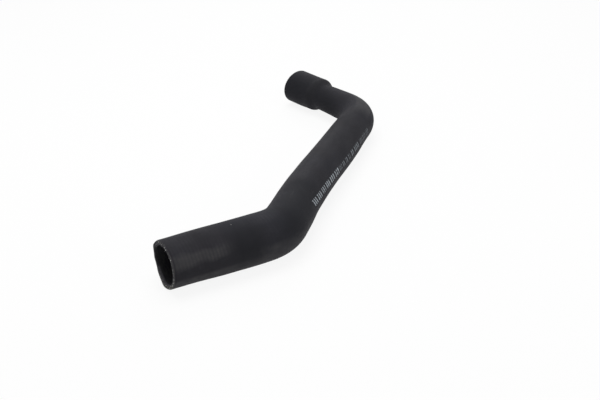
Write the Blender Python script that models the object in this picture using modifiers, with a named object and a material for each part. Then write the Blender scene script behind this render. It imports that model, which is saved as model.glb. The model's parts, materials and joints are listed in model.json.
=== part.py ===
"""Turbo hose: a moulded rubber hose with two bends, wide at its mouth and narrow before its cuff.

It lies as it rests on a bench. The mouth leg runs along +X with its mouth facing -X, both main bends
turn to the left, and the cuff ends with its opening facing about +Y. The origin is the middle of the
underside of the box around the hose. Lengths are in metres, +Z is up.
"""
import bpy
import bmesh
from math import cos, pi, radians, sin
from mathutils import Vector

# Wall of rubber and cloth, and the cut edges
WALL = 0.005
CUT_EDGE = 0.0006

# Centreline from the mouth: straight lengths, bend radii and turns to the left in degrees.
# A seat is the level length at each end that goes over a pipe stub.
MOUTH_SEAT = 0.030
MOUTH_LEG = 0.099
BEND_1_RADIUS = 0.062
BEND_1_TURN = 44.5
LOWER_RUN = 0.077
BOW_RADIUS = 0.480
BOW_TURN = -4.0
UPPER_RUN = 0.210
BEND_2_RADIUS = 0.071
BEND_2_TURN = 61.5
NECK_LENGTH = 0.052
STEP_LENGTH = 0.0085
SHOULDER_LENGTH = 0.019
CUFF_SEAT = 0.030

# Outer diameters in the same order. The barrel is the end of the mouth leg, a little swollen.
MOUTH_DIAMETER = 0.0605
BARREL_SWELL = 0.002
BARREL_DIAMETER = MOUTH_DIAMETER + BARREL_SWELL
AFTER_BEND_1_DIAMETER = 0.0595
MID_RUN_DIAMETER = 0.0555
BEFORE_BEND_2_DIAMETER = 0.053
AFTER_BEND_2_DIAMETER = 0.0445
NECK_DIAMETER = 0.0415
CUFF_SHOULDER_DIAMETER = 0.054
CUFF_DIAMETER = 0.053

# How finely the round forms are cut into flats
SIDES = 32
WALL_PROBES = 12
WELD_DISTANCE = 0.00001
EDGE_ANGLE = radians(60)

RUBBER_COLOUR = (0.032, 0.032, 0.036, 1.0)
RUBBER_ROUGHNESS = 0.62


def stretches():
    """Length, turn to the left in radians and number of rings of each stretch of the centreline."""
    turn_1, bow, turn_2 = radians(BEND_1_TURN), radians(BOW_TURN), radians(BEND_2_TURN)
    return (
        (MOUTH_SEAT, 0.0, 2),
        (MOUTH_LEG, 0.0, 5),
        (BEND_1_RADIUS * abs(turn_1), turn_1, 9),
        (LOWER_RUN, 0.0, 4),
        (BOW_RADIUS * abs(bow), bow, 2),
        (UPPER_RUN, 0.0, 8),
        (BEND_2_RADIUS * abs(turn_2), turn_2, 12),
        (NECK_LENGTH, 0.0, 5),
        (STEP_LENGTH, 0.0, 6),
        (SHOULDER_LENGTH, 0.0, 5),
        (CUFF_SEAT, 0.0, 2),
    )


def stations():
    """Distances along the centreline: 0 for the mouth, then the end of each stretch."""
    marks = [0.0]
    for length, turn, rings in stretches():
        marks.append(marks[-1] + length)
    return marks


def eased(places, values, at):
    """Value at a place on a smooth curve through the given places, which never overshoots them."""
    last = len(places) - 1
    slopes = [(values[i + 1] - values[i]) / (places[i + 1] - places[i]) for i in range(last)]
    tangents = [0.0] * (last + 1)
    for i in range(1, last):
        before, after = slopes[i - 1], slopes[i]
        if before * after > 0:
            tangents[i] = 2 * before * after / (before + after)
    i = next((k for k in range(last) if at <= places[k + 1]), last - 1)
    span = places[i + 1] - places[i]
    t = min(1.0, (at - places[i]) / span)
    start = (1 + 2 * t) * (1 - t) ** 2 * values[i] + t * (1 - t) ** 2 * span * tangents[i]
    end = t * t * (3 - 2 * t) * values[i + 1] + t * t * (t - 1) * span * tangents[i + 1]
    return start + end


def outer_radius(at):
    """Outer radius of the hose at a distance along its centreline."""
    mouth, seat, leg, bend_1, lower, bow, upper, bend_2, neck, step, shoulder, end = stations()
    middle = (bend_1 + upper) / 2
    places = (mouth, seat, leg, bend_1, middle, upper, bend_2, neck, step, shoulder, end)
    diameters = (
        MOUTH_DIAMETER, MOUTH_DIAMETER, BARREL_DIAMETER, AFTER_BEND_1_DIAMETER, MID_RUN_DIAMETER,
        BEFORE_BEND_2_DIAMETER, AFTER_BEND_2_DIAMETER, NECK_DIAMETER, CUFF_SHOULDER_DIAMETER,
        CUFF_DIAMETER, CUFF_DIAMETER,
    )
    return eased(places, diameters, at) / 2


def bore_radius(at):
    """Radius of the bore, which keeps one wall from the outside in every direction."""
    end = stations()[-1]
    tilts = [pi * (probe / WALL_PROBES - 0.5) for probe in range(WALL_PROBES + 1)]
    reaches = [(min(max(at + WALL * sin(tilt), 0.0), end), WALL * cos(tilt)) for tilt in tilts]
    return min(outer_radius(place) - depth for place, depth in reaches)


def height(at):
    """Height of the centreline, so that the hose lies on the bench with its leg and cuff level."""
    mouth, seat, leg, bend_1, lower, bow, upper, bend_2, neck, step, shoulder, end = stations()
    leg_height = max(MOUTH_DIAMETER, BARREL_DIAMETER) / 2
    cuff_height = max(CUFF_SHOULDER_DIAMETER, CUFF_DIAMETER) / 2
    heights = (leg_height, leg_height, BEFORE_BEND_2_DIAMETER / 2, cuff_height, cuff_height)
    lying = eased((mouth, leg, upper, step, end), heights, at)
    return max(lying, outer_radius(at))


def centreline():
    """Distance along the centreline and place of each of its rings, from the mouth to the cuff."""
    x = y = heading = along = 0.0
    rings = [(along, Vector((x, y, height(along))))]
    for length, turn, count in stretches():
        stride, swing = length / count, turn / count
        chord = stride if swing == 0 else 2 * stride / swing * sin(swing / 2)
        for ring in range(count):
            heading += swing / 2
            x += chord * cos(heading)
            y += chord * sin(heading)
            heading += swing / 2
            along += stride
            rings.append((along, Vector((x, y, height(along)))))
    return rings


def clear_scene():
    for obj in list(bpy.data.objects):
        bpy.data.objects.remove(obj, do_unlink=True)


def rubber():
    material = bpy.data.materials.new("moulded_rubber")
    material.use_nodes = True
    surface = material.node_tree.nodes["Principled BSDF"]
    surface.inputs["Base Color"].default_value = RUBBER_COLOUR
    surface.inputs["Roughness"].default_value = RUBBER_ROUGHNESS
    surface.inputs["Metallic"].default_value = 0.0
    return material


def tube(name, radius_at, collection):
    """An open tube along the centreline, as a mesh."""
    rings = centreline()
    widest = max(radius_at(along) for along, place in rings)
    curve = bpy.data.curves.new(name, "CURVE")
    curve.dimensions = "3D"
    curve.twist_mode = "Z_UP"
    curve.bevel_depth = widest
    curve.bevel_resolution = SIDES // 2 - 2
    curve.use_fill_caps = False
    spline = curve.splines.new("POLY")
    spline.points.add(len(rings) - 1)
    for point, (along, place) in zip(spline.points, rings):
        point.co = (*place, 1.0)
        point.radius = radius_at(along) / widest
    path = bpy.data.objects.new(name, curve)
    collection.objects.link(path)
    graph = bpy.context.evaluated_depsgraph_get()
    mesh = bpy.data.meshes.new_from_object(path.evaluated_get(graph))
    bpy.data.objects.remove(path, do_unlink=True)
    return mesh


def hose_wall(outside, bore):
    """Join the outside and the bore, turned to look at the axis, by a flat ring at each end."""
    work = bmesh.new()
    work.from_mesh(outside)
    outside_count = len(work.faces)
    work.from_mesh(bore)
    work.faces.ensure_lookup_table()
    bmesh.ops.reverse_faces(work, faces=work.faces[outside_count:])
    bmesh.ops.remove_doubles(work, verts=work.verts, dist=WELD_DISTANCE)
    rims = [edge for edge in work.edges if edge.is_boundary]
    for end in (centreline()[0][1], centreline()[-1][1]):
        near = [edge for edge in rims if (edge.verts[0].co - end).length < BARREL_DIAMETER]
        bmesh.ops.bridge_loops(work, edges=near)
    bmesh.ops.recalc_face_normals(work, faces=work.faces)
    return work


def stand_on_origin(work):
    """Move the wall so that the middle of the underside of its box is the origin."""
    lows = [min(vertex.co[axis] for vertex in work.verts) for axis in range(3)]
    highs = [max(vertex.co[axis] for vertex in work.verts) for axis in range(3)]
    middle = Vector(((lows[0] + highs[0]) / 2, (lows[1] + highs[1]) / 2, lows[2]))
    bmesh.ops.translate(work, verts=work.verts, vec=-middle)


def build():
    clear_scene()
    collection = bpy.data.collections.new("turbo_hose")
    bpy.context.scene.collection.children.link(collection)

    outside = tube("outside", outer_radius, collection)
    bore = tube("bore", bore_radius, collection)
    wall = hose_wall(outside, bore)
    stand_on_origin(wall)
    mesh = bpy.data.meshes.new("turbo_hose")
    wall.to_mesh(mesh)
    wall.free()
    mesh.materials.append(rubber())
    mesh.shade_smooth()
    mesh.set_sharp_from_angle(angle=EDGE_ANGLE)
    hose = bpy.data.objects.new("turbo_hose", mesh)
    collection.objects.link(hose)

    # The ends are cut square, with their edges barely broken
    edges = hose.modifiers.new("cut_edges", "BEVEL")
    edges.width = CUT_EDGE
    edges.segments = 2
    edges.limit_method = "ANGLE"
    edges.angle_limit = EDGE_ANGLE


build()
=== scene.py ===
import json
import random
from math import cos, pi, radians, sin

import bpy
import bmesh
from mathutils import Euler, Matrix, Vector, noise


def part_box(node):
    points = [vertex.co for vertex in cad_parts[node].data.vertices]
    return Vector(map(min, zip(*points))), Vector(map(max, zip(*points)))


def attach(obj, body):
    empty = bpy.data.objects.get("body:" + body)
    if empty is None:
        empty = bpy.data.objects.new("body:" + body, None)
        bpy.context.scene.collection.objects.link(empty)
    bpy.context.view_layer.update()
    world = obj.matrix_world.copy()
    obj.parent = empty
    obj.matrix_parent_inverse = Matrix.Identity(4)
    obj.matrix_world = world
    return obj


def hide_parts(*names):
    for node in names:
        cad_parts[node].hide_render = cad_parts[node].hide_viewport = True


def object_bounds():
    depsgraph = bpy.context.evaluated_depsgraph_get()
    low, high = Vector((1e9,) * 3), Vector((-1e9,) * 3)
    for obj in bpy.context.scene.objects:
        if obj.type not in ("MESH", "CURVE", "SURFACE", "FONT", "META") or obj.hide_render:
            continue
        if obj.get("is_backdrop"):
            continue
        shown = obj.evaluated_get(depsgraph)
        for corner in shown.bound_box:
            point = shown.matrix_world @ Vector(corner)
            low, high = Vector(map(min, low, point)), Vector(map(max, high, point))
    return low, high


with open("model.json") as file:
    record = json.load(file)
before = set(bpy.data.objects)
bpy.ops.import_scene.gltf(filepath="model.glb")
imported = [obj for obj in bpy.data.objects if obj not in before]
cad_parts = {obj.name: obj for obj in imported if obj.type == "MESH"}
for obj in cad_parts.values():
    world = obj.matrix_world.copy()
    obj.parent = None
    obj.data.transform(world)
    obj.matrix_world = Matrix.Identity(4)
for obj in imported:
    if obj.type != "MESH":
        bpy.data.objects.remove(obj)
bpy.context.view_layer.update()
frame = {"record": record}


# Camera. It looks down on the hose over its mouth leg, from far enough to the left to see into
# the open mouth.
CAMERA_FROM_MOUTH = Vector((-0.4063, -1.0237, 0.7046))
CAMERA_PITCH = 28.313
CAMERA_AZIMUTH = -29.94
LENS = 65.55

mounts = {mount["name"]: mount["pos_m"] for mount in frame["record"]["mounts"]}
mouth_x, mouth_y = mounts["mouth_face"][:2]
hose_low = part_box("turbo_hose")[0]
mouth_ground = Vector((mouth_x, mouth_y, hose_low[2]))

camera_data = bpy.data.cameras.new("picture_camera")
camera_data.lens = LENS
camera_data.sensor_fit = "HORIZONTAL"
camera_data.dof.use_dof = False
camera = bpy.data.objects.new("picture_camera", camera_data)
camera.location = mouth_ground + CAMERA_FROM_MOUTH
camera.rotation_euler = Euler((radians(90 - CAMERA_PITCH), 0.0, radians(CAMERA_AZIMUTH)))
bpy.context.scene.collection.objects.link(camera)
bpy.context.scene.camera = camera


# Studio floor. A wide sheet of matt white that runs on under the whole view, bright enough to
# vanish into the background but for the hose's own soft shadow.
FLOOR_SIZE = 24.0
FLOOR_DROP = 0.0004
FLOOR_WHITE = (0.88, 0.88, 0.88, 1.0)
FLOOR_LIFT = 0.89


def new_material(name):
    """A material with an empty node tree and its output node."""
    material = bpy.data.materials.new(name)
    material.use_nodes = True
    tree = material.node_tree
    tree.nodes.clear()
    return material, tree, tree.nodes.new("ShaderNodeOutputMaterial")


def put(tree, kind, inputs=(), **settings):
    """Add a node with its settings, and give its inputs values or links."""
    made = tree.nodes.new(kind)
    for name, value in settings.items():
        setattr(made, name, value)
    for name, value in dict(inputs).items():
        if isinstance(value, bpy.types.NodeSocket):
            tree.links.new(value, made.inputs[name])
        else:
            made.inputs[name].default_value = value
    return made


def calc(tree, operation, first, second=0.0, third=0.0, clamp=False):
    """The result of one math node."""
    inputs = {0: first, 1: second, 2: third}
    return put(tree, "ShaderNodeMath", inputs, operation=operation, use_clamp=clamp).outputs[0]


def on_view(tree):
    """1 for the rays that show the background itself: from the camera, a mirror or clear glass."""
    rays = put(tree, "ShaderNodeLightPath")
    shown = calc(tree, "MAXIMUM", rays.outputs["Is Camera Ray"], rays.outputs["Is Glossy Ray"])
    return calc(tree, "MAXIMUM", shown, rays.outputs["Is Transmission Ray"])


material, tree, output = new_material("studio_white")
matt = put(tree, "ShaderNodeBsdfPrincipled", {
    "Base Color": FLOOR_WHITE, "Roughness": 0.9, "Specular IOR Level": 0.1,
})
glow = put(tree, "ShaderNodeEmission", {"Color": (1.0, 1.0, 1.0, 1.0), "Strength": 1.0})
lift = calc(tree, "MULTIPLY", on_view(tree), FLOOR_LIFT)
blend = put(tree, "ShaderNodeMixShader", {"Fac": lift, 1: matt.outputs[0], 2: glow.outputs[0]})
tree.links.new(blend.outputs[0], output.inputs["Surface"])

mesh = bpy.data.meshes.new("studio_floor")
work = bmesh.new()
bmesh.ops.create_grid(work, x_segments=1, y_segments=1, size=FLOOR_SIZE / 2)
bmesh.ops.translate(work, verts=work.verts, vec=(0.0, 0.0, hose_low[2] - FLOOR_DROP))
work.to_mesh(mesh)
work.free()
mesh.materials.append(material)
floor = bpy.data.objects.new("studio_floor", mesh)
bpy.context.scene.collection.objects.link(floor)
floor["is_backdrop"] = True


# Studio light. A white room and four soft boxes: a large one overhead, weak ones low to the right
# and left of the camera, and one behind the hose on the right that draws the edges of the bends.
ROOM_LIGHT = 0.28
# Name, place, size and power
SOFT_BOXES = (
    ("key_box", (-0.1, 0.1, 1.7), 1.2, 22.0),
    ("front_box", (0.7, -1.5, 0.7), 0.8, 4.0),
    ("left_box", (-1.4, -0.8, 0.7), 0.8, 2.2),
    ("back_box", (0.9, 1.1, 1.1), 0.9, 6.0),
)

world = bpy.data.worlds.new("white_room")
bpy.context.scene.world = world
world.use_nodes = True
tree = world.node_tree
tree.nodes.clear()
strength = calc(tree, "MULTIPLY_ADD", on_view(tree), 1.0 - ROOM_LIGHT, ROOM_LIGHT)
room = put(tree, "ShaderNodeBackground", {"Color": (1.0, 1.0, 1.0, 1.0), "Strength": strength})
output = put(tree, "ShaderNodeOutputWorld")
tree.links.new(room.outputs[0], output.inputs["Surface"])

for name, place, size, power in SOFT_BOXES:
    lamp = bpy.data.lights.new(name, "AREA")
    lamp.shape = "SQUARE"
    lamp.size = size
    lamp.energy = power
    box = bpy.data.objects.new(name, lamp)
    box.location = place
    box.rotation_euler = (-Vector(place)).to_track_quat("-Z", "Y").to_euler()
    bpy.context.scene.collection.objects.link(box)


# The hose. One moulding of black rubber over cloth plies, cured on a bent mandrel under a tight
# cloth wrapping that leaves faint rings round it, and then cut square by hand at both ends.
WALL = 0.005
MOUTH_SEAT = 0.030
MOUTH_LEG = 0.099
BEND_1_RADIUS = 0.062
BEND_1_TURN = radians(44.5)
LOWER_RUN = 0.077
BOW_RADIUS = 0.480
BOW_TURN = radians(-4.0)
UPPER_RUN = 0.210
BEND_2_RADIUS = 0.071
BEND_2_TURN = radians(61.5)
NECK_LENGTH = 0.052
STEP_LENGTH = 0.0085
SHOULDER_LENGTH = 0.019
CUFF_SEAT = 0.030

MOUTH_DIAMETER = 0.0605
BARREL_DIAMETER = 0.0625
AFTER_BEND_1_DIAMETER = 0.0595
MID_RUN_DIAMETER = 0.0555
BEFORE_BEND_2_DIAMETER = 0.053
AFTER_BEND_2_DIAMETER = 0.0445
NECK_DIAMETER = 0.0415
CUFF_SHOULDER_DIAMETER = 0.054
CUFF_DIAMETER = 0.053

# Each stretch of the centreline from the mouth: its length and its turn to the left
STRETCHES = (
    (MOUTH_SEAT, 0.0),
    (MOUTH_LEG, 0.0),
    (BEND_1_RADIUS * abs(BEND_1_TURN), BEND_1_TURN),
    (LOWER_RUN, 0.0),
    (BOW_RADIUS * abs(BOW_TURN), BOW_TURN),
    (UPPER_RUN, 0.0),
    (BEND_2_RADIUS * abs(BEND_2_TURN), BEND_2_TURN),
    (NECK_LENGTH, 0.0),
    (STEP_LENGTH, 0.0),
    (SHOULDER_LENGTH, 0.0),
    (CUFF_SEAT, 0.0),
)
# Distances along the centreline: 0 for the mouth, then the end of each stretch
STATIONS = [
    sum(length for length, turn in STRETCHES[:count]) for count in range(len(STRETCHES) + 1)
]
STEP_START, STEP_END, HOSE_LENGTH = STATIONS[-4], STATIONS[-3], STATIONS[-1]

# How finely the skin, the bore, the cut faces and their rounded edges are divided
SIDES = 96
SKIN_RINGS = 760
BORE_RINGS = 90
FACE_RINGS = 12
EDGE_RINGS = 4
EDGE_ROUND = 0.0005
WALL_PROBES = 12
WELD_DISTANCE = 0.000002

# The wrapping is a cloth tape wound round and round, which leaves a ledge at each turn and three
# soft ribs between two ledges. It shows most at the mouth, and in patches further on.
WRAP_PITCH = 0.0135
WRAP_DRIFT = 0.10
WRAP_LEDGE = 0.00007
LEDGE_WIDTH = 0.12
RIBS_PER_WRAP = 3
RIB_HEIGHT = 0.000035
MARKED_LENGTH = 0.100
MARKED_AT_MOUTH = 0.7
MARKED_FURTHER_ON = 0.6

# The step into the cuff is soft, and starts sooner on its upper right side than on its lower left.
# It is moved by as much as that near its middle, and by less and less away from there.
STEP_SOFTNESS = 0.0040
STEP_PROBES = 9
STEP_SOONER = 0.0036
STEP_LEAD = 0.0033
STEP_LEAD_ANGLE = radians(-30)
STEP_MIDDLE = 0.001
STEP_REACH = 0.024
STEP_FADE = 0.014
# On the lower left the cuff's shoulder sags, up to a place where the cuff is plainly round
SHOULDER_SAG = 0.0012
SAG_MIDDLE = 0.003
SAG_REACH = 0.022
PLAIN_CUFF = 0.030
# Start, end, angle round from the top and height of the places that stand out or are drawn flat
SWELLINGS = (
    (0.004, 0.085, radians(20), 0.0008),
    (0.020, 0.115, radians(-145), 0.0009),
    (0.080, 0.140, radians(-125), 0.0008),
    (0.130, 0.185, radians(-118), 0.0007),
    (0.150, 0.250, radians(-112), 0.0010),
    (0.165, 0.230, radians(40), -0.0005),
    (0.225, 0.315, radians(-105), 0.0008),
    (0.230, 0.330, radians(60), -0.0004),
    (0.330, 0.470, radians(-105), 0.0009),
    (0.430, 0.560, radians(-92), -0.0012),
)
UNEVEN = 0.00025
UNEVEN_SCALE = 28.0
BORE_UNEVEN = 0.00012
BORE_UNEVEN_SCALE = 42.0

# The knife wavers round the mouth: angle round from the top in degrees, and how far in it cuts.
# It runs a little askew through the cuff.
MOUTH_WAVER = (
    (-180, -0.0020), (-165, -0.0014), (-150, -0.0006), (-90, -0.0006), (-30, -0.0008),
    (0, -0.0010), (18, -0.0006), (32, 0.0002), (45, -0.0006), (60, -0.0019),
    (75, -0.0011), (90, -0.0003), (100, -0.0003), (112, 0.0003), (122, 0.0003),
    (135, -0.0004), (150, -0.0007), (160, -0.0011), (172, -0.0018), (180, -0.0020),
)
CUFF_SKEW_UP = -0.0023
CUFF_SKEW_LEFT = 0.0019
CUT_REACH = 0.012
# The knife has dragged the mouth's inner edge inwards here
DRAGGED_SIDE = radians(18)
DRAGGED_IN = 0.0015
DRAGGED_REACH = 0.009
# The plies stand out of the cut faces as low ridges, and the faces are rough all over
PLY_DEPTHS = (0.0015, 0.0033)
PLY_WIDTH = 0.00035
PLY_RIDGE = 0.00012
FACE_ROUGH = 0.00010
FACE_SCALE = 900
FACE_DEPTH_SCALE = 9e5

# The rows of printed strokes run along the right-hand flank, this far round from the top
PRINT_ANGLE = radians(-71)


def eased(places, values, at):
    """Value at a place on a smooth curve through the given places, which never overshoots them."""
    last = len(places) - 1
    slopes = [(values[i + 1] - values[i]) / (places[i + 1] - places[i]) for i in range(last)]
    tangents = [0.0] * (last + 1)
    for i in range(1, last):
        before, after = slopes[i - 1], slopes[i]
        if before * after > 0:
            tangents[i] = 2 * before * after / (before + after)
    i = next((k for k in range(last) if at <= places[k + 1]), last - 1)
    span = places[i + 1] - places[i]
    t = min(1.0, (at - places[i]) / span)
    start = (1 + 2 * t) * (1 - t) ** 2 * values[i] + t * (1 - t) ** 2 * span * tangents[i]
    end = t * t * (3 - 2 * t) * values[i + 1] + t * t * (t - 1) * span * tangents[i + 1]
    return start + end


def outer_radius(at):
    """Outer radius of the hose at a distance along its centreline."""
    mouth, seat, leg, bend_1, lower, bow, upper, bend_2, neck, step, shoulder, end = STATIONS
    middle = (bend_1 + upper) / 2
    places = (mouth, seat, leg, bend_1, middle, upper, bend_2, neck, step, shoulder, end)
    diameters = (
        MOUTH_DIAMETER, MOUTH_DIAMETER, BARREL_DIAMETER, AFTER_BEND_1_DIAMETER, MID_RUN_DIAMETER,
        BEFORE_BEND_2_DIAMETER, AFTER_BEND_2_DIAMETER, NECK_DIAMETER, CUFF_SHOULDER_DIAMETER,
        CUFF_DIAMETER, CUFF_DIAMETER,
    )
    return eased(places, diameters, at) / 2


def bore_radius(at):
    """Radius of the bore, which keeps one wall from the outside in every direction."""
    tilts = [pi * (probe / WALL_PROBES - 0.5) for probe in range(WALL_PROBES + 1)]
    places = [min(max(at + WALL * sin(tilt), 0.0), HOSE_LENGTH) for tilt in tilts]
    return min(outer_radius(place) - WALL * cos(tilt) for place, tilt in zip(places, tilts))


def height(at):
    """Height of the centreline over the floor."""
    mouth, seat, leg, bend_1, lower, bow, upper, bend_2, neck, step, shoulder, end = STATIONS
    levels = (
        BARREL_DIAMETER / 2, BARREL_DIAMETER / 2, BEFORE_BEND_2_DIAMETER / 2,
        CUFF_SHOULDER_DIAMETER / 2, CUFF_SHOULDER_DIAMETER / 2,
    )
    return max(eased((mouth, leg, upper, step, end), levels, at), outer_radius(at))


def middle_at(at):
    """Point of the centreline at a distance along it, and the way it heads there."""
    x, y, heading, remaining = mouth_ground.x, mouth_y, 0.0, at
    for length, turn in STRETCHES:
        part = min(max(remaining, 0.0), length)
        swing = turn * part / length
        chord = part if turn == 0 else 2 * length / turn * sin(swing / 2)
        x += chord * cos(heading + swing / 2)
        y += chord * sin(heading + swing / 2)
        heading += swing
        remaining -= part
    return Vector((x, y, hose_low[2] + height(at))), heading


def ring_frame(at):
    """Middle, forward, left and up directions of the hose's round section at a distance."""
    reach = 0.0005
    here, heading = middle_at(at)
    rise = height(min(at + reach, HOSE_LENGTH)) - height(max(at - reach, 0.0))
    forward = Vector((cos(heading), sin(heading), rise / (2 * reach))).normalized()
    left = Vector((-sin(heading), cos(heading), 0.0))
    return here, forward, left, forward.cross(left)


def wrapping(at, angle):
    """How far the wrapping has pressed the skin in, at a place along and an angle round it."""
    spot = Vector((at * 30, cos(angle), sin(angle)))
    turns = at / WRAP_PITCH + angle / (2 * pi)
    turns += WRAP_DRIFT * noise.noise(spot * 1.7)
    step = turns % 1.0
    ledge = step / (1 - LEDGE_WIDTH) if step < 1 - LEDGE_WIDTH else (1 - step) / LEDGE_WIDTH
    patches = min(1.0, max(0.0, 0.35 + 1.2 * noise.noise(spot)))
    at_mouth = MARKED_AT_MOUTH * (1 - at / MARKED_LENGTH)
    rib = 0.5 - 0.5 * cos(2 * pi * turns * RIBS_PER_WRAP)
    strength = max(patches * MARKED_FURTHER_ON, at_mouth)
    return strength * (WRAP_LEDGE * (1 - ledge) + RIB_HEIGHT * rib)


def skin_radius(at, angle):
    """Outer radius where the skin shows, with its swellings and its soft step into the cuff."""
    if at < STEP_START + STEP_MIDDLE - STEP_REACH or at > STEP_END + PLAIN_CUFF:
        radius = outer_radius(at)
        for first, last, turned, swelling in SWELLINGS:
            if first < at < last:
                share = sin(pi * (at - first) / (last - first)) ** 2
                radius += swelling * share * max(0.0, cos(angle - turned)) ** 2
        return radius
    lead = cos(angle - STEP_LEAD_ANGLE)
    away = abs(at - STEP_START - STEP_MIDDLE)
    near = min(1.0, max(0.0, (STEP_REACH - away) / STEP_FADE))
    middle = at + (STEP_SOONER + STEP_LEAD * lead) * near * near * (3 - 2 * near)
    half = (STEP_PROBES - 1) / 2
    reaches = [middle + STEP_SOFTNESS * (probe / half - 1) for probe in range(STEP_PROBES)]
    radius = sum(outer_radius(min(reach, HOSE_LENGTH)) for reach in reaches) / STEP_PROBES
    sag = max(0.0, 1 - abs(at - STEP_END - SAG_MIDDLE) / SAG_REACH)
    return radius - SHOULDER_SAG * sag * sag * (3 - 2 * sag) * max(0.0, -lead)


def cut_shift(at, angle):
    """How far along the hose the hand-held knife has moved the cut ends."""
    mouth_share = max(0.0, 1 - at / CUT_REACH) ** 2
    cuff_share = max(0.0, 1 - (HOSE_LENGTH - at) / CUT_REACH) ** 2
    turned = (angle + pi) % (2 * pi) - pi
    places = [radians(degrees) for degrees, shift in MOUTH_WAVER]
    waver = eased(places, [shift for degrees, shift in MOUTH_WAVER], turned)
    skew = CUFF_SKEW_UP * cos(angle) + CUFF_SKEW_LEFT * sin(angle)
    return mouth_share * waver + cuff_share * skew


def section():
    """Once round the wall's long section: the place along the hose and the depth in the wall."""
    length = HOSE_LENGTH - 2 * EDGE_ROUND
    width = WALL - 2 * EDGE_ROUND
    skin = [EDGE_ROUND + length * ring / SKIN_RINGS for ring in range(SKIN_RINGS)]
    bore = [EDGE_ROUND + length * ring / BORE_RINGS for ring in range(BORE_RINGS)]
    across = [EDGE_ROUND + width * ring / FACE_RINGS for ring in range(FACE_RINGS)]
    edge = [pi / 2 * step / EDGE_RINGS for step in range(EDGE_RINGS)]
    rounding = [(EDGE_ROUND * (1 - sin(a)), EDGE_ROUND * (1 - cos(a))) for a in edge]
    path = [(at, 0.0) for at in skin]
    path += [(HOSE_LENGTH - along, depth) for along, depth in rounding]
    path += [(HOSE_LENGTH, depth) for depth in across]
    path += [
        (HOSE_LENGTH - EDGE_ROUND + EDGE_ROUND * cos(a), WALL - EDGE_ROUND + EDGE_ROUND * sin(a))
        for a in edge
    ]
    path += [(HOSE_LENGTH - at, WALL) for at in bore]
    path += [(along, WALL - depth) for along, depth in rounding]
    path += [(0.0, WALL - depth) for depth in across]
    path += [(EDGE_ROUND * (1 - cos(a)), EDGE_ROUND * (1 - sin(a))) for a in edge]
    return path


rings = section()
mesh = bpy.data.meshes.new("moulded_hose")
work = bmesh.new()
laid = work.verts.layers.float_vector.new("laid_straight")
deep = work.verts.layers.float.new("wall_depth")
bmesh.ops.create_grid(work, x_segments=len(rings), y_segments=SIDES, size=0.5)
columns = {}
for vertex in work.verts:
    columns.setdefault(round((vertex.co.x + 0.5) * len(rings)), []).append(vertex)
for column, verts in columns.items():
    at, depth = rings[column % len(rings)]
    middle, forward, left, up = ring_frame(at)
    outside = outer_radius(at)
    bore = bore_radius(at)
    inward = depth / WALL
    for vertex in verts:
        angle = 2 * pi * (round((vertex.co.y + 0.5) * SIDES) % SIDES) / SIDES
        around = Vector((0.0, cos(angle), sin(angle)))
        spot = Vector((at, around.y * outside, around.z * outside))
        dragged = DRAGGED_IN * max(0.0, 1 - at / DRAGGED_REACH) ** 2
        dragged *= max(0.0, cos(angle - DRAGGED_SIDE)) ** 6
        radius = skin_radius(at, angle) * (1 - inward) + (bore - dragged) * inward
        radius += (1 - inward) * UNEVEN * noise.noise(spot * UNEVEN_SCALE)
        radius += inward * BORE_UNEVEN * noise.noise(spot * BORE_UNEVEN_SCALE)
        if depth < EDGE_ROUND:
            radius -= wrapping(at, angle)
        shift = cut_shift(at, angle)
        if EDGE_ROUND < depth < WALL - EDGE_ROUND:
            ply = min(abs(depth - ply_depth) for ply_depth in PLY_DEPTHS)
            rough = noise.noise(spot * FACE_SCALE + around * depth * FACE_DEPTH_SCALE)
            bump = PLY_RIDGE * max(0.0, 1 - ply / PLY_WIDTH) + FACE_ROUGH * rough
            shift += bump if at > HOSE_LENGTH / 2 else -bump
        turned = angle - PRINT_ANGLE
        vertex[laid] = (at, radius * cos(turned), radius * sin(turned))
        vertex[deep] = inward
        vertex.co = middle + radius * (up * cos(angle) + left * sin(angle)) + forward * shift
bmesh.ops.remove_doubles(work, verts=work.verts, dist=WELD_DISTANCE)
bmesh.ops.recalc_face_normals(work, faces=work.faces)
for face in work.faces:
    face.smooth = True
work.to_mesh(mesh)
work.free()

# Rubber. Black with a grey bloom, matt, a little browner and bluer in patches, with pale fibres in
# the cut faces, rubbed cut edges, dust, rows of pale strokes printed along one flank, and painted
# highlights, sheen and shade.
# Darkest black, for painted shade and darker patches
RUBBER_DARKEST = (0.0158, 0.0162, 0.0192, 1.0)
RUBBER_DARK = (0.0195, 0.0190, 0.0220, 1.0)
RUBBER_GREY = (0.0275, 0.0268, 0.0315, 1.0)
RUBBER_BLOOM = (0.0400, 0.0390, 0.0450, 1.0)
RUBBER_COOL = (0.0215, 0.0228, 0.0290, 1.0)
RUBBED = (0.085, 0.083, 0.082, 1.0)
BORE_BLACK = (0.0130, 0.0125, 0.0160, 1.0)
BORE_GREY = (0.037, 0.038, 0.034, 1.0)
CUT_DARK = (0.032, 0.031, 0.034, 1.0)
CUT_GREY = (0.058, 0.057, 0.063, 1.0)
CUT_OLIVE = (0.150, 0.149, 0.120, 1.0)
THREAD_PALE = (0.23, 0.228, 0.225, 1.0)
LIP_PALE = (0.096, 0.094, 0.102, 1.0)
DUST_WHITE = (0.42, 0.42, 0.40, 1.0)
# Pale grey for painted highlight and sheen, and for dust
DUST_AND_SHEEN_GREY = (0.060, 0.059, 0.061, 1.0)
PRINT_PALE = (0.42, 0.46, 0.50, 1.0)
MILLIMETRE = 0.001
WEAVE_PITCH = 1.5 * MILLIMETRE

# Angles round from the top: where the cut faces are cleanest and darkest, being frayed and pale
# all the rest of the way round, where they are stained olive, and where the painted shade of a
# groove behind the mouth's rim lies
CLEAN_CUT = radians(88)
OLIVE_SIDE = radians(-170)
GROOVE_SHADE_SIDE = radians(-70)
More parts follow.
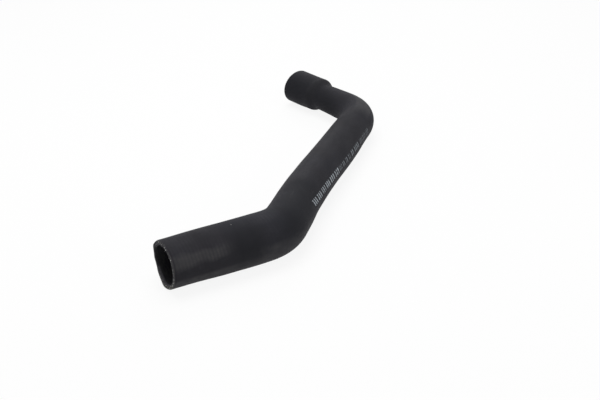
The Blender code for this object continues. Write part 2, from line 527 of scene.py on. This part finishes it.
# Least and greatest depth as a share of the wall, and strength, of the worn lips of the cut faces
CUT_LIPS = ((0.84, 1.00, 0.9), (0.00, 0.14, 0.7))
# Half the width of a ply where it shows in a cut face
PLY_SHOWN = 0.0002
# Start, end, angle round from the top and strength of the darker places, some of them painted
# shade on the sides that face away from the light
DARK_AND_SHADED_SPOTS = (
    (0.088, 0.107, radians(-66), 0.80),
    (0.155, 0.236, radians(-30), 0.90),
    (0.255, 0.490, radians(-64), 0.32),
    (0.500, 0.560, radians(30), 0.35),
    (0.585, 0.684, radians(64), 1.00),
    (0.610, 0.640, radians(14), 0.45),
)
# Start, end, angle round from the top, reach round from there and strength of the places painted
# paler, a painted highlight and sheen mottled like dust: the outer sides of both bends, the
# underside of the mouth leg and the upper left of the long run
SHEEN_AND_DUST_SIDES = (
    (0.102, 0.190, radians(-120), radians(44), 0.66),
    (0.510, 0.560, radians(-22), radians(26), 0.85),
    (0.000, 0.110, radians(-134), radians(31), 0.85),
    (0.240, 0.430, radians(30), radians(40), 0.20),
)
# Place along, angle round from the top and size of single specks of dust, and the share of a
# speck over which it fades
DUST_SPECKS = (
    (0.0870, radians(-5), 0.0007),
    (0.1480, radians(75), 0.0004),
    (0.2620, radians(122), 0.0005),
    (0.3300, radians(-160), 0.0005),
    (0.3950, radians(64), 0.0005),
    (0.5600, radians(150), 0.0005),
    (0.6600, radians(-140), 0.0004),
)
SPECK_FADE = 0.6
# Start and end of each row of strokes along the hose, half its height, pitch and width of a
# stroke, pitch and filled length of a group, and strength
PRINTED = (
    (0.2150, 0.3324, 0.0045, 0.0060, 0.0028, 0.0204, 0.0148, 1.00),
    (0.3365, 0.3485, 0.0040, 0.0042, 0.0019, 0.0120, 0.0103, 0.36),
    (0.3515, 0.3870, 0.0042, 0.0046, 0.0021, 0.0125, 0.0068, 0.46),
    (0.3900, 0.4000, 0.0044, 0.0056, 0.0026, 0.0110, 0.0082, 0.62),
    (0.4050, 0.4260, 0.0044, 0.0056, 0.0026, 0.0110, 0.0082, 0.52),
    (0.4320, 0.4790, 0.0044, 0.0050, 0.0022, 0.0166, 0.0122, 0.30),
)
PRINT_SLANT = 0.45
STROKE_EDGE = 0.0003
GROUP_EDGE = 0.0002
# The rows settle this far below the print angle. Past the first bend they start higher than that
# by this much, and come down over this length.
PRINT_BELOW = 0.0042
PRINT_HIGHER = 0.0057
PRINT_FROM = 0.220
PRINT_SETTLES = 0.060


def scaled(tree, value, gain, offset):
    """A value times a gain plus an offset."""
    return calc(tree, "MULTIPLY_ADD", value, gain, offset)


def held(tree, value, gain, offset):
    """A value times a gain plus an offset, held between 0 and 1."""
    return calc(tree, "MULTIPLY_ADD", value, gain, offset, clamp=True)


def times(tree, product, *values):
    """The product of two or more values."""
    for value in values:
        product = calc(tree, "MULTIPLY", product, value)
    return product


def band(tree, value, low, high, soft):
    """1 between low and high, falling to 0 over the soft width outside them."""
    rise = held(tree, value, 1 / soft, -(low - soft) / soft)
    fall = held(tree, value, -1 / soft, (high + soft) / soft)
    return times(tree, rise, fall)


def mixed(tree, share, first, second):
    """One colour over another by a share from 0 to 1."""
    inputs = {0: share, 6: first, 7: second}
    return put(tree, "ShaderNodeMix", inputs, data_type="RGBA").outputs[2]


def facing(tree, where, angle):
    """How far a place of the straightened hose lies to the side at an angle round from the top."""
    side = (0.0, cos(angle - PRINT_ANGLE), sin(angle - PRINT_ANGLE))
    made = put(tree, "ShaderNodeVectorMath", {0: where, 1: side}, operation="DOT_PRODUCT")
    return made.outputs["Value"]


def cloudy(tree, where, scale, detail=3.0, stretch=(1.0, 1.0, 1.0), roughness=0.55):
    """Noise in the hose's straightened place."""
    spread = put(tree, "ShaderNodeMapping", {"Vector": where, "Scale": stretch})
    return put(tree, "ShaderNodeTexNoise", {
        "Vector": spread.outputs[0], "Scale": scale, "Detail": detail, "Roughness": roughness,
    }).outputs["Fac"]


material, tree, output = new_material("moulded_rubber")
place = put(tree, "ShaderNodeAttribute", attribute_name="laid_straight").outputs["Vector"]
depth = put(tree, "ShaderNodeAttribute", attribute_name="wall_depth").outputs["Fac"]
parts = put(tree, "ShaderNodeSeparateXYZ", {0: place})
along, toward_print, across_print = parts.outputs[0], parts.outputs[1], parts.outputs[2]
on_flank = calc(tree, "GREATER_THAN", toward_print, 0.0)
from_end = calc(tree, "MINIMUM", along, calc(tree, "SUBTRACT", HOSE_LENGTH, along))

# Which surface this is: the skin, a cut face or the bore
on_bore = held(tree, depth, 20.0, -18.5)
off_skin = held(tree, depth, 20.0, -1.2)
on_cut = calc(tree, "SUBTRACT", off_skin, on_bore, clamp=True)

# Where the cut faces and their edges are frayed
from_axis = scaled(tree, across_print, across_print, calc(tree, "POWER", toward_print, 2.0))
from_axis = calc(tree, "POWER", from_axis, 0.5)
clean = calc(tree, "DIVIDE", facing(tree, place, CLEAN_CUT), from_axis)
frayed = scaled(tree, held(tree, clean, -9.0, 8.0), 0.9, 0.1)

# Skin: dark and grey patches, a bluish cast, and a bloom that follows the ribs of the wrapping
patches = held(tree, cloudy(tree, place, 16.0), 2.6, -0.8)
colour = mixed(tree, patches, RUBBER_DARK, RUBBER_GREY)
cool = held(tree, cloudy(tree, place, 11.0, 2.0), 4.0, -1.7)
colour = mixed(tree, times(tree, cool, 0.6), colour, RUBBER_COOL)
turns = calc(tree, "ARCTAN2", across_print, toward_print)
turns = scaled(tree, turns, 1 / (2 * pi), calc(tree, "DIVIDE", along, WRAP_PITCH))
rib_wave = calc(tree, "COSINE", times(tree, turns, 2 * pi * RIBS_PER_WRAP))
bloom = held(tree, cloudy(tree, place, 34.0, 5.0, (0.5, 1.0, 1.0), 0.65), 2.8, -1.15)
bloom = times(tree, bloom, scaled(tree, rib_wave, 0.15, 0.50))
colour = mixed(tree, bloom, colour, RUBBER_BLOOM)

# A painted highlight: the strip along the flank of the mouth leg painted grey, mostly on the ribs
drift = scaled(tree, cloudy(tree, place, 28.0), -0.020, 0.012)
drift = calc(tree, "ADD", times(tree, along, -0.06), drift)
drift = calc(tree, "ADD", across_print, drift)
painted_highlight_strip = times(
    tree,
    band(tree, drift, 0.5 * MILLIMETRE, 7.0 * MILLIMETRE, 6.0 * MILLIMETRE),
    band(tree, along, 0.0, 0.058, 0.026),
    on_flank,
    scaled(tree, rib_wave, scaled(tree, along, 1.4, 0.045), 0.62),
    held(tree, cloudy(tree, place, 70.0), 1.0, 0.4),
)
colour = mixed(tree, painted_highlight_strip, colour, DUST_AND_SHEEN_GREY)

# Painted highlight and sheen, painted shade in darker places, painted light in the step, scuffs
# and specks of dust
# Painted highlight and sheen, mottled like dust, on the sides that catch the light
for first, last, angle, reach, strength in SHEEN_AND_DUST_SIDES:
    fade = (1 - cos(reach)) / 2
    scale = 1 / (fade * outer_radius((first + last) / 2))
    sheen_and_dust = times(
        tree,
        held(tree, facing(tree, place, angle), scale, -cos(reach) / fade),
        band(tree, along, first, last, 0.025),
        held(tree, cloudy(tree, place, 150.0, 5.0), 1.2, -0.02),
        strength,
    )
    colour = mixed(tree, sheen_and_dust, colour, DUST_AND_SHEEN_GREY)
# Darker places, some of them painted shade on the sides of the run and the neck that face away
# from the light
for first, last, angle, strength in DARK_AND_SHADED_SPOTS:
    darkened = held(tree, facing(tree, place, angle), 1 / 0.020, -0.40)
    darkened = times(tree, darkened, band(tree, along, first, last, 0.022), strength)
    colour = mixed(tree, darkened, colour, RUBBER_DARKEST)
# Painted light in the crease of the step into the cuff, which lifts its shade
step_painted_light = band(tree, along, STEP_START - MILLIMETRE, STEP_END - MILLIMETRE, 0.005)
colour = mixed(tree, times(tree, step_painted_light, 0.10), colour, DUST_AND_SHEEN_GREY)
scuffs = held(tree, cloudy(tree, place, 60.0, 3.0, (0.30, 2.4, 2.4)), 8.0, -5.4)
colour = mixed(tree, times(tree, scuffs, 0.12), colour, RUBBED)
dust = 0.0
for at, angle, size in DUST_SPECKS:
    angle -= PRINT_ANGLE
    spot = (at, outer_radius(at) * cos(angle), outer_radius(at) * sin(angle))
    away = put(tree, "ShaderNodeVectorMath", {0: place, 1: spot}, operation="DISTANCE")
    speck = held(tree, away.outputs["Value"], -1 / (SPECK_FADE * size), 1 / SPECK_FADE)
    dust = calc(tree, "MAXIMUM", speck, dust)
colour = mixed(tree, times(tree, dust, 0.75), colour, DUST_WHITE)

# Printed rows: groups of slanted strokes, broad ones first and then fine ones, worn by handling
settling = scaled(tree, along, -1 / PRINT_SETTLES, PRINT_FROM / PRINT_SETTLES)
settling = scaled(tree, calc(tree, "EXPONENT", settling), -PRINT_HIGHER, PRINT_BELOW)
across_row = calc(tree, "ADD", across_print, settling)
ink = 0.0
for start, end, half_height, pitch, stroke, group, filled, strength in PRINTED:
    slanted = scaled(tree, across_row, PRINT_SLANT, along)
    since = calc(tree, "FLOORED_MODULO", calc(tree, "SUBTRACT", slanted, start), group)
    mark = times(
        tree,
        band(tree, calc(tree, "ABSOLUTE", across_row), -1.0, half_height, STROKE_EDGE),
        band(tree, calc(tree, "FLOORED_MODULO", since, pitch), 0.0, stroke, STROKE_EDGE),
        band(tree, since, 0.0, filled, GROUP_EDGE),
        band(tree, slanted, start, end, GROUP_EDGE),
        strength,
    )
    ink = calc(tree, "MAXIMUM", mark, ink)
worn = held(tree, cloudy(tree, place, 300.0, 4.0), 3.5, -0.95)
ink = times(tree, ink, on_flank, worn)
colour = mixed(tree, times(tree, ink, 0.85), colour, PRINT_PALE)

# Painted shade for a faint groove behind the mouth's rim on the right, and the rubbed edges of the
# cuts
painted_groove_shade = band(tree, along, 0.0016, 0.0022, 0.0008)
painted_groove_shade = times(tree, painted_groove_shade, held(tree, facing(tree, place, GROOVE_SHADE_SIDE), 1 / 0.016, -0.6))
colour = mixed(tree, times(tree, painted_groove_shade, 0.5), colour, BORE_BLACK)
rubbed = held(tree, from_end, -1 / MILLIMETRE, 1.0)
rubbed = times(tree, rubbed, held(tree, cloudy(tree, place, 240.0), 5.0, -2.1), frayed)
colour = mixed(tree, times(tree, rubbed, 0.9), colour, RUBBED)

# Cut faces with their stain, their worn lips and their cloth plies
fibres = held(tree, cloudy(tree, place, 520.0, 4.0), 4.2, -1.6)
cut = mixed(tree, times(tree, fibres, frayed), CUT_DARK, CUT_GREY)
underneath = held(tree, facing(tree, place, OLIVE_SIDE), 1 / 0.010, -1.3)
ragged = held(tree, cloudy(tree, place, 640.0, 3.0), 7.0, -3.2)
cut = mixed(tree, times(tree, ragged, underneath), cut, CUT_OLIVE)
for low, high, strength in CUT_LIPS:
    broken = held(tree, cloudy(tree, place, 330.0, 3.0), 4.0, -1.4)
    worn_lip = times(tree, band(tree, depth, low, high, 0.06), broken, frayed, strength)
    cut = mixed(tree, worn_lip, cut, LIP_PALE)
layer = times(tree, depth, WALL)
for ply_depth in PLY_DEPTHS:
    ply = band(tree, layer, ply_depth - PLY_SHOWN, ply_depth + PLY_SHOWN, PLY_SHOWN)
    strands = held(tree, cloudy(tree, place, 1400.0, 2.0), 6.0, -2.9)
    strands = times(tree, strands, scaled(tree, frayed, 0.85, 0.15))
    cut = mixed(tree, times(tree, ply, strands), cut, THREAD_PALE)
colour = mixed(tree, on_cut, colour, cut)

# Bore, with rings round it and a pale lip just inside the cuts
rings_seen = held(tree, cloudy(tree, place, 90.0, 4.0, (3.0, 1.0, 1.0), 0.65), 3.2, -1.35)
bore_colour = mixed(tree, times(tree, rings_seen, 0.8), BORE_BLACK, BORE_GREY)
bore_lip = held(tree, from_end, -1 / (2.0 * MILLIMETRE), 1.9)
bore_lip = times(tree, bore_lip, frayed, scaled(tree, fibres, 0.5, 0.5))
bore_colour = mixed(tree, bore_lip, bore_colour, LIP_PALE)
colour = mixed(tree, on_bore, colour, bore_colour)

# Shine: the skin and the bore are matt, the dust and the cut faces dull
roughness = scaled(tree, cloudy(tree, place, 48.0, 4.0), 0.24, 0.54)
roughness = calc(tree, "ADD", roughness, times(tree, dust, 0.2))
roughness = calc(tree, "ADD", roughness, times(tree, on_cut, 0.35), clamp=True)

# Fine relief: the cloth's weave, pressed in more here and less there, and the rubber's grain
weave = calc(tree, "SINE", times(tree, along, 2 * pi / WEAVE_PITCH))
weave = times(tree, weave, calc(tree, "SUBTRACT", 1.0, off_skin))
pressed = held(tree, cloudy(tree, place, 42.0, 3.0), 3.4, -1.2)
weave = times(tree, weave, scaled(tree, pressed, 0.8, 0.2))
grain = cloudy(tree, place, 850.0, 4.0, roughness=0.6)
relief = scaled(tree, weave, 0.25, grain)
bump = put(tree, "ShaderNodeBump", {"Strength": 0.8, "Distance": 0.0002, "Height": relief})

surface = put(tree, "ShaderNodeBsdfPrincipled", {
    "Base Color": colour, "Roughness": roughness, "Normal": bump.outputs[0],
    "IOR": 1.5, "Specular IOR Level": 0.05,
})
tree.links.new(surface.outputs[0], output.inputs["Surface"])

mesh.materials.append(material)
hose = bpy.data.objects.new("moulded_hose", mesh)
bpy.context.scene.collection.objects.link(hose)
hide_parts("turbo_hose")
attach(hose, "root")


# Thread ends. The knife leaves short ends of the pale polyester plies standing out of both cut
# faces, and pulls tufts of longer fibres out of the mouth's.
THREADS_PER_PLY = 84
THREADS_MISSING = 0.45
THREAD_RADIUS = 0.00018
THREAD_STAND = (0.0002, 0.0006)
YARN_RADIUS = 0.00026
# Radius of a fibre's tip as a share of its root's, and how far its middle lies from the cut face
# as a share of its length
FIBRE_TIP = 0.45
FIBRE_MIDDLE = 0.3
# Angle round from the top in degrees, depth below the skin, length and number of fibres of a tuft
TUFTS = (
    (22, 0.0024, 0.0015, 16), (14, 0.0022, 0.0010, 2), (-3, 0.0026, 0.0008, 1),
    (-15, 0.0022, 0.0010, 3), (-21, 0.0026, 0.0014, 5), (-44, 0.0042, 0.0008, 3),
    (-51, 0.0009, 0.0009, 4), (-76, 0.0040, 0.0008, 3), (-101, 0.0017, 0.0012, 6),
    (-110, 0.0011, 0.0012, 6), (-123, 0.0016, 0.0012, 6), (-137, 0.0034, 0.0010, 4),
    (-150, 0.0020, 0.0012, 6), (-160, 0.0042, 0.0010, 4), (-168, 0.0044, 0.0011, 5),
    (165, 0.0046, 0.0009, 4), (150, 0.0045, 0.0008, 3),
)


def add_fibre(work, root, lean, length, radius):
    """One tapering fibre from its root, as long as given, the way it leans."""
    turn = lean.to_track_quat("Z", "Y").to_matrix().to_4x4()
    made = bmesh.ops.create_cone(
        work, cap_ends=True, segments=5, radius1=radius, radius2=radius * FIBRE_TIP, depth=length,
    )
    bmesh.ops.translate(work, verts=made["verts"], vec=(0.0, 0.0, length * FIBRE_MIDDLE))
    bmesh.ops.transform(work, matrix=turn, verts=made["verts"])
    bmesh.ops.translate(work, verts=made["verts"], vec=root)


chance = random.Random(11)
mesh = bpy.data.meshes.new("ply_threads")
work = bmesh.new()
for at, outward in ((0.0, -1.0), (HOSE_LENGTH, 1.0)):
    middle, forward, left, up = ring_frame(at)
    outside, bore = outer_radius(at), bore_radius(at)
    for ply_depth in PLY_DEPTHS:
        for thread in range(THREADS_PER_PLY):
            if chance.random() < THREADS_MISSING:
                continue
            angle = 2 * pi * (thread + chance.uniform(-0.3, 0.3)) / THREADS_PER_PLY
            away = up * cos(angle) + left * sin(angle)
            depth = ply_depth + chance.uniform(-0.0002, 0.0002)
            radius = outside + (bore - outside) * depth / WALL
            root = middle + radius * away + forward * cut_shift(at, angle)
            lean = forward * outward + away * chance.uniform(-0.6, 0.6)
            lean += away.cross(forward) * chance.uniform(-0.8, 0.8)
            add_fibre(work, root, lean, chance.uniform(*THREAD_STAND), THREAD_RADIUS)
    if outward < 0:
        for degrees, tuft_depth, length, fibres in TUFTS:
            for fibre in range(fibres):
                angle = radians(degrees + chance.uniform(-1.2, 1.2))
                away = up * cos(angle) + left * sin(angle)
                depth = tuft_depth + chance.uniform(-0.0004, 0.0004)
                radius = outside + (bore - outside) * depth / WALL
                root = middle + radius * away + forward * cut_shift(at, angle)
                lean = forward * outward * 0.6 + away * chance.uniform(-0.8, 0.8)
                lean += away.cross(forward) * chance.uniform(-1.2, 1.2)
                add_fibre(work, root, lean, length * chance.uniform(0.6, 1.2), YARN_RADIUS)
bmesh.ops.recalc_face_normals(work, faces=work.faces)
work.to_mesh(mesh)
work.free()

# Polyester, pale and grey by turns, and matt
FIBRE_PALE = (0.68, 0.675, 0.66, 1.0)
FIBRE_GREY = (0.20, 0.197, 0.19, 1.0)
material, tree, output = new_material("polyester_fibre")
place = put(tree, "ShaderNodeTexCoord").outputs["Object"]
paler = held(tree, cloudy(tree, place, 260.0, 3.0), 4.0, -1.6)
colour = mixed(tree, paler, FIBRE_GREY, FIBRE_PALE)
strands = put(tree, "ShaderNodeTexNoise", {"Vector": place, "Scale": 4000.0}).outputs["Fac"]
bump = put(tree, "ShaderNodeBump", {"Strength": 0.3, "Distance": 0.00003, "Height": strands})
surface = put(tree, "ShaderNodeBsdfPrincipled", {
    "Base Color": colour, "Roughness": 0.75, "Normal": bump.outputs[0], "Specular IOR Level": 0.3,
})
tree.links.new(surface.outputs[0], output.inputs["Surface"])

mesh.materials.append(material)
threads = bpy.data.objects.new("ply_threads", mesh)
bpy.context.scene.collection.objects.link(threads)
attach(threads, "root")


# How the picture is shown, and the size of the finished model
bpy.context.scene.view_settings.view_transform = "Standard"
low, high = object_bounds()
